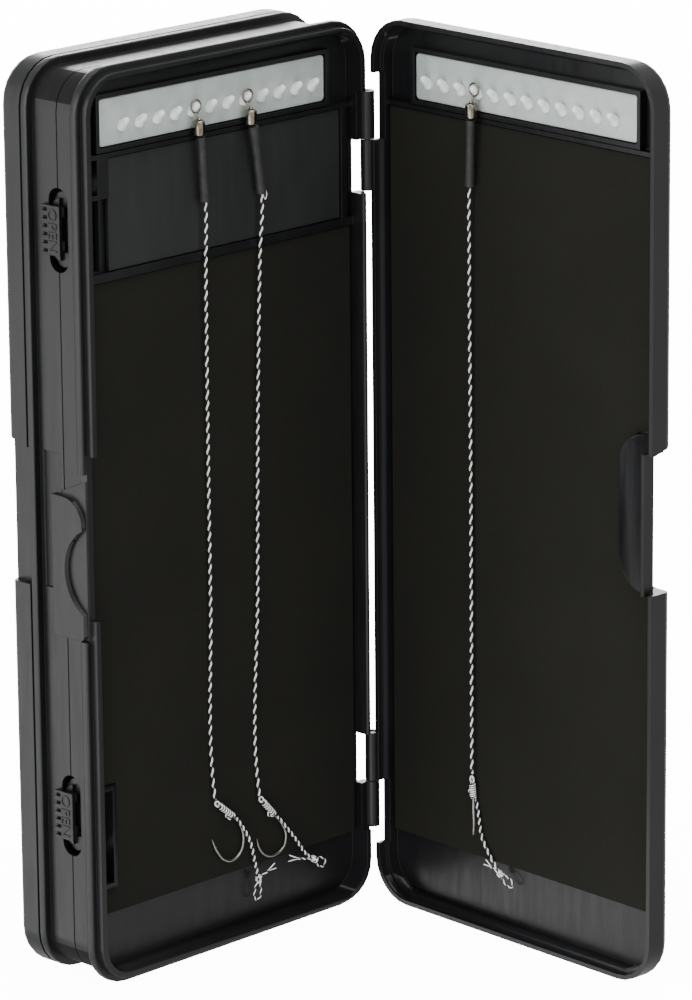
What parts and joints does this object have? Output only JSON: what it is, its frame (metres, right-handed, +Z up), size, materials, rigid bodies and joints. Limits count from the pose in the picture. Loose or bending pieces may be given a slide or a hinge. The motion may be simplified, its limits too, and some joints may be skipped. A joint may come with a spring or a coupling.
{
  "type": "fishing rig box",
  "caption": "Slim double-sided box for fishing rigs: two back-to-back trays, a hinged lid on each, peg strips, foam-lined bays, two slide catches and rigs hung on the pegs.",
  "frame": {"origin": "on the floor, in the middle of the front tray's bottom rim, on which the box stands", "axes": "+Z up along the box's length, +X across to the hinge side, -Y out of the front tray's mouth"},
  "size_m": [0.1103, 0.1305, 0.24],
  "materials": {
    "black_plastic": "satin moulded",
    "grey_plastic": "satin moulded",
    "foam": "matte fine grain",
    "frosted_plastic": "frosted translucent",
    "steel": "bright drawn wire",
    "brass": "bright nickelled",
    "rubber": "matte",
    "braid": "twisted braid"
  },
  "bodies": {
    "front_half": {"front_tray": "black_plastic", "front_tray_sheet": "foam", "front_tray_cover": "grey_plastic", "front_tray_peg_strip": "frosted_plastic", "front_tray_strip_frame": "black_plastic", "front_hinge_pin_lower": "steel", "front_hinge_pin_upper": "steel", "middle_hinge_pin_lower": "steel", "middle_hinge_pin_upper": "steel", "rig_1_swivel": "brass", "rig_1_sleeve": "rubber", "rig_1_hooklink": "braid", "rig_1_whipping": "braid", "rig_1_hook": "steel", "rig_1_hair": "braid", "rig_1_loop": "braid", "rig_2_swivel": "brass", "rig_2_sleeve": "rubber", "rig_2_hooklink": "braid", "rig_2_whipping": "braid", "rig_2_hook": "steel", "rig_2_hair": "braid", "rig_2_loop": "braid"},
    "front_lid": {"front_lid": "black_plastic", "front_lid_sheet": "foam", "front_lid_peg_strip": "frosted_plastic", "front_lid_strip_frame": "black_plastic", "rig_3_swivel": "brass", "rig_3_sleeve": "rubber", "rig_3_hooklink": "braid", "rig_3_whipping": "braid", "rig_3_hook": "steel", "rig_3_hair": "braid", "rig_3_loop": "braid"},
    "back_half": {"back_tray": "black_plastic", "back_tray_sheet": "foam", "back_tray_cover": "grey_plastic", "back_tray_peg_strip": "frosted_plastic", "back_tray_strip_frame": "black_plastic", "back_hinge_pin_lower": "steel", "back_hinge_pin_upper": "steel"},
    "back_lid": {"back_lid": "black_plastic", "back_lid_sheet": "foam", "back_lid_peg_strip": "frosted_plastic", "back_lid_strip_frame": "black_plastic"},
    "lower_catch": {"lower_catch": "black_plastic"},
    "upper_catch": {"upper_catch": "black_plastic"}
  },
  "joints": [
    {"name": "front_lid_hinge", "type": "hinge", "parent": "front_half", "child": "front_lid", "pos_m": [0.0519, -0.0012, 0.12], "axis": [0, 0, 1], "range_deg": [-87.3, 47.7]},
    {"name": "middle_hinge", "type": "hinge", "parent": "front_half", "child": "back_half", "pos_m": [0.0504, 0.008, 0.12], "axis": [0, 0, -1], "range_deg": [0, 70]},
    {"name": "back_lid_hinge", "type": "hinge", "parent": "back_half", "child": "back_lid", "pos_m": [0.0519, 0.0192, 0.12], "axis": [0, 0, -1], "range_deg": [0, 135]},
    {"name": "lower_catch_slide", "type": "slide", "parent": "back_half", "child": "lower_catch", "axis": [0, 0, 1], "range_m": [0, 0.0025]},
    {"name": "upper_catch_slide", "type": "slide", "parent": "back_half", "child": "upper_catch", "axis": [0, 0, 1], "range_m": [0, 0.0025]}
  ]
}
